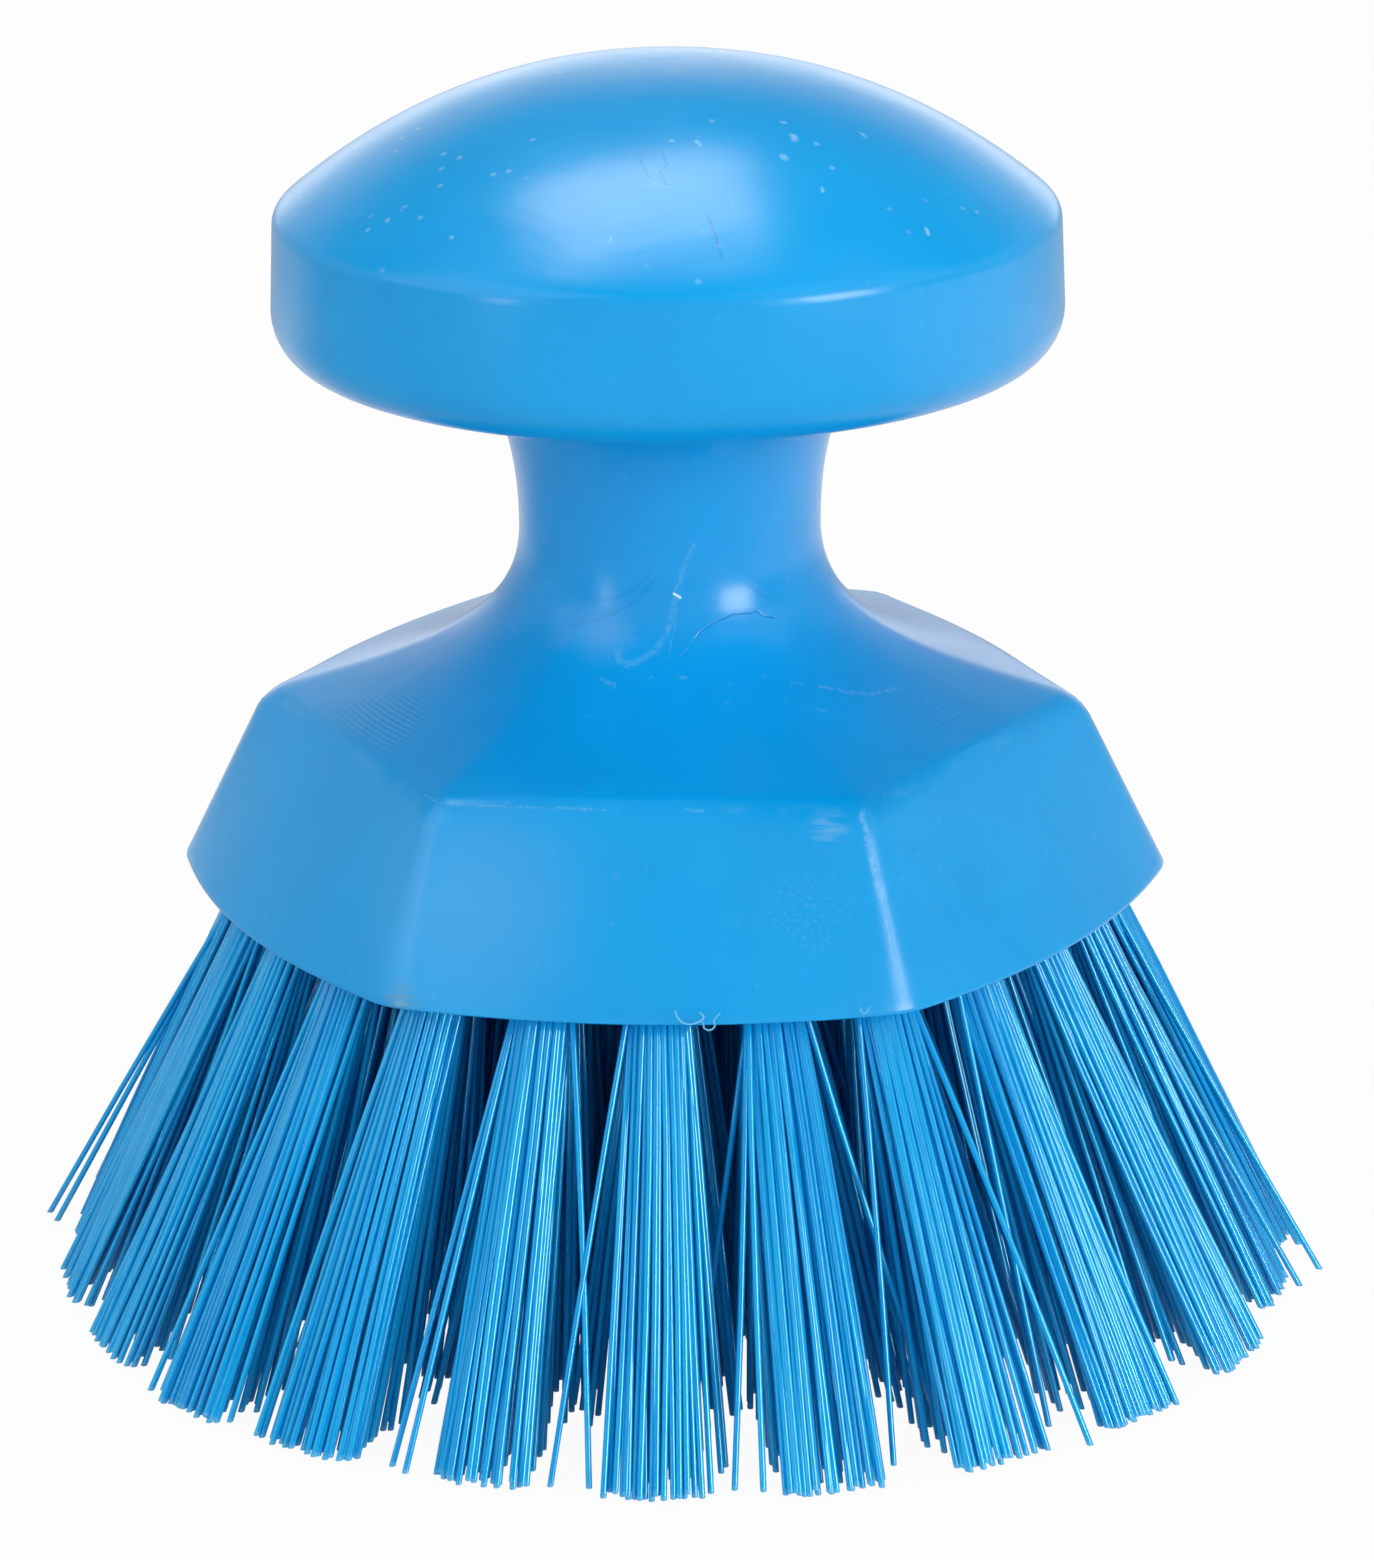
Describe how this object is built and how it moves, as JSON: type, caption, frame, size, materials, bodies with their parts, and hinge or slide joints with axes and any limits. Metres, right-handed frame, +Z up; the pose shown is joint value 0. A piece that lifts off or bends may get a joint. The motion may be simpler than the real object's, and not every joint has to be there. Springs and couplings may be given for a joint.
{
  "type": "round scrub brush",
  "caption": "Hand scrub brush with a domed round knob on a waisted neck, over a six-sided block set with fanned tufts of stiff bristle.",
  "frame": {"origin": "middle of the plane that the trimmed bristle tips stand on", "axes": "+Z up through the knob along the brush's axis, +X towards one corner of the six-sided block"},
  "size_m": [0.11, 0.11, 0.1037],
  "materials": {
    "moulded_blue": "satin injection moulded polypropylene",
    "bristle_blue": "glossy drawn polyester filament"
  },
  "bodies": {
    "root": {"handle_block": "moulded_blue", "outer_tuft_01": "bristle_blue", "outer_tuft_02": "bristle_blue", "outer_tuft_03": "bristle_blue", "outer_tuft_04": "bristle_blue", "outer_tuft_05": "bristle_blue", "outer_tuft_06": "bristle_blue", "outer_tuft_07": "bristle_blue", "outer_tuft_08": "bristle_blue", "outer_tuft_09": "bristle_blue", "outer_tuft_10": "bristle_blue", "outer_tuft_11": "bristle_blue", "outer_tuft_12": "bristle_blue", "outer_tuft_13": "bristle_blue", "outer_tuft_14": "bristle_blue", "outer_tuft_15": "bristle_blue", "outer_tuft_16": "bristle_blue", "outer_tuft_17": "bristle_blue", "outer_tuft_18": "bristle_blue", "outer_tuft_19": "bristle_blue", "outer_tuft_20": "bristle_blue", "outer_tuft_21": "bristle_blue", "outer_tuft_22": "bristle_blue", "outer_tuft_23": "bristle_blue", "outer_tuft_24": "bristle_blue", "second_tuft_01": "bristle_blue", "second_tuft_02": "bristle_blue", "second_tuft_03": "bristle_blue", "second_tuft_04": "bristle_blue", "second_tuft_05": "bristle_blue", "second_tuft_06": "bristle_blue", "second_tuft_07": "bristle_blue", "second_tuft_08": "bristle_blue", "second_tuft_09": "bristle_blue", "second_tuft_10": "bristle_blue", "second_tuft_11": "bristle_blue", "second_tuft_12": "bristle_blue", "second_tuft_13": "bristle_blue", "second_tuft_14": "bristle_blue", "second_tuft_15": "bristle_blue", "second_tuft_16": "bristle_blue", "second_tuft_17": "bristle_blue", "second_tuft_18": "bristle_blue", "third_tuft_01": "bristle_blue", "third_tuft_02": "bristle_blue", "third_tuft_03": "bristle_blue", "third_tuft_04": "bristle_blue", "third_tuft_05": "bristle_blue", "third_tuft_06": "bristle_blue", "third_tuft_07": "bristle_blue", "third_tuft_08": "bristle_blue", "third_tuft_09": "bristle_blue", "third_tuft_10": "bristle_blue", "third_tuft_11": "bristle_blue", "third_tuft_12": "bristle_blue", "inner_tuft_01": "bristle_blue", "inner_tuft_02": "bristle_blue", "inner_tuft_03": "bristle_blue", "inner_tuft_04": "bristle_blue"}
  },
  "joints": []
}
